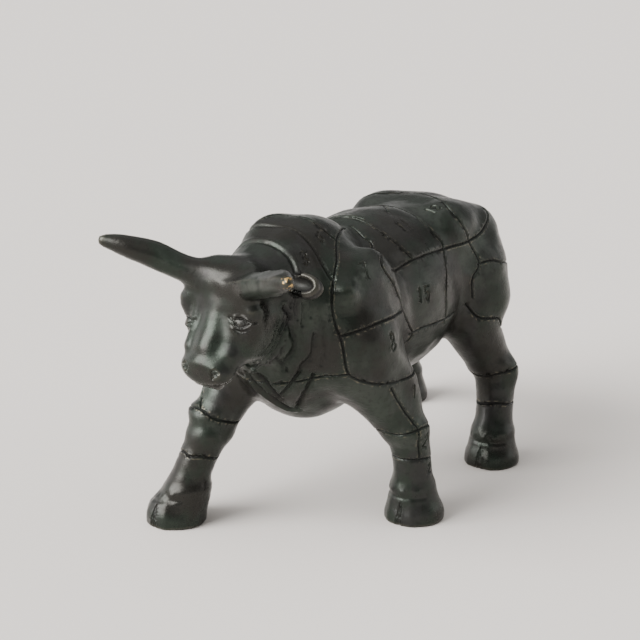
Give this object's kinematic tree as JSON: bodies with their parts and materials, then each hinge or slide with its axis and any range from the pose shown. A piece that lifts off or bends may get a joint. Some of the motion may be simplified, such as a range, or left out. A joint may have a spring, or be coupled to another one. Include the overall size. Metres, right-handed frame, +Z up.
{
  "type": "bull sculpture",
  "caption": "Table sculpture of a striding bull with a lowered head and spread horns, its hide scored with butcher's cut lines and numerals, standing on its own hooves.",
  "frame": {"origin": "on the floor, in the plane of the four soles, under the middle of the whole", "axes": "+Z up, +Y from the nose back towards the rump, +X to the bull's left"},
  "size_m": [0.1628, 0.347, 0.1939],
  "materials": {
    "bronze": "dark green-brown patina, semi-gloss, rubbed brighter on the high places"
  },
  "bodies": {
    "root": {"bull": "bronze"}
  },
  "joints": []
}
